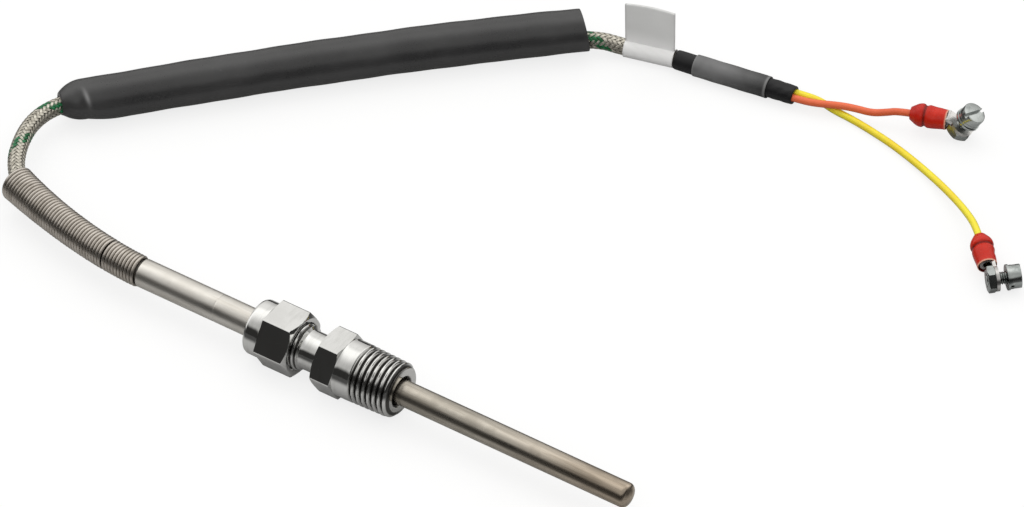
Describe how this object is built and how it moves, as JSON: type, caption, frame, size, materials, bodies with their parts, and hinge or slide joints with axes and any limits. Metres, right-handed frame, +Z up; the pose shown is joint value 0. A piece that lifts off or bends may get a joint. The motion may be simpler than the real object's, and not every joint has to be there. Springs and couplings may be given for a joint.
{
  "type": "exhaust gas temperature sensor",
  "caption": "Sheathed thermocouple probe in a threaded compression fitting, with a spring strain relief, a sleeved braided cable and colour-coded leads with ring terminals.",
  "frame": {"origin": "on the probe's axis, at the end face of the pipe thread", "axes": "+X along the probe towards its tip, +Z up with the sensor lying on its hexagon flats"},
  "size_m": [0.2172, 0.1622, 0.0162],
  "materials": {
    "sheath_steel": "satin, heat-tinted warm grey",
    "fitting_steel": "polished stainless steel",
    "tube_steel": "satin stainless steel",
    "spring_steel": "drawn steel wire",
    "braid_steel": "woven steel wires with green tracer threads",
    "sleeve_rubber": "smooth satin",
    "label_film": "pale grey film",
    "boot_plastic": "heat-shrink, satin",
    "marker_film": "grey film",
    "orange_plastic": "extruded lead insulation",
    "yellow_plastic": "extruded lead insulation",
    "insulator_plastic": "moulded, glossy",
    "tinned_metal": "tinned",
    "screw_zinc": "zinc plated",
    "oxide_ceramic": "matt",
    "element_metal": "drawn wire",
    "seal_glass": "fused",
    "potting_resin": "cured resin"
  },
  "bodies": {
    "sensor": {"probe_sheath": "sheath_steel", "mineral_insulation": "oxide_ceramic", "positive_wire": "element_metal", "negative_wire": "element_metal", "hot_junction": "element_metal", "end_seal": "seal_glass", "ceramic_bead": "oxide_ceramic", "potting_fill": "potting_resin", "back_tube": "tube_steel", "fitting_body": "fitting_steel", "strain_relief_spring": "spring_steel", "braided_cable": "braid_steel", "protective_sleeve": "sleeve_rubber", "cable_label": "label_film", "breakout_boot": "boot_plastic", "marker_sleeve": "marker_film", "orange_lead": "orange_plastic", "yellow_lead": "yellow_plastic", "orange_ring_terminal": "tinned_metal", "orange_insulator": "insulator_plastic", "orange_nut": "screw_zinc", "yellow_ring_terminal": "tinned_metal", "yellow_insulator": "insulator_plastic", "yellow_nut": "screw_zinc"},
    "ferrules": {"front_ferrule": "fitting_steel", "back_ferrule": "fitting_steel"},
    "nut": {"compression_nut": "fitting_steel"},
    "orange_washers": {"orange_lock_washer": "screw_zinc", "orange_flat_washer": "screw_zinc"},
    "orange_fastener": {"orange_screw": "screw_zinc"},
    "yellow_washers": {"yellow_lock_washer": "screw_zinc", "yellow_flat_washer": "screw_zinc"},
    "yellow_fastener": {"yellow_screw": "screw_zinc"}
  },
  "joints": [
    {"name": "ferrule_travel", "type": "slide", "parent": "sensor", "child": "ferrules", "axis": [-1, 0, 0], "range_m": [0, 0.00635]},
    {"name": "nut_turn", "type": "hinge", "parent": "ferrules", "child": "nut", "pos_m": [-0.0335, 0, 0], "axis": [-1, 0, 0], "range_deg": [0, 1801]},
    {"name": "orange_washer_travel", "type": "slide", "parent": "sensor", "child": "orange_washers", "axis": [-0.53, -0.1784, -0.829], "range_m": [0, 0.0018]},
    {"name": "orange_screw_turn", "type": "hinge", "parent": "orange_washers", "child": "orange_fastener", "pos_m": [0.05145, 0.15047, -0.00355], "axis": [-0.53, -0.1784, -0.829], "range_deg": [0, 1297]},
    {"name": "yellow_washer_travel", "type": "slide", "parent": "sensor", "child": "yellow_washers", "axis": [-0.6972, -0.7169, 0], "range_m": [0, 0.0018]},
    {"name": "yellow_screw_turn", "type": "hinge", "parent": "yellow_washers", "child": "yellow_fastener", "pos_m": [0.08684, 0.1114, -0.00395], "axis": [-0.6972, -0.7169, 0], "range_deg": [0, 1297]}
  ],
  "couplings": [
    {"joint": "nut_turn", "follows": "ferrule_travel", "rad_per_m": 4947.4},
    {"joint": "orange_screw_turn", "follows": "orange_washer_travel", "rad_per_m": 12566},
    {"joint": "yellow_screw_turn", "follows": "yellow_washer_travel", "rad_per_m": 12566}
  ]
}
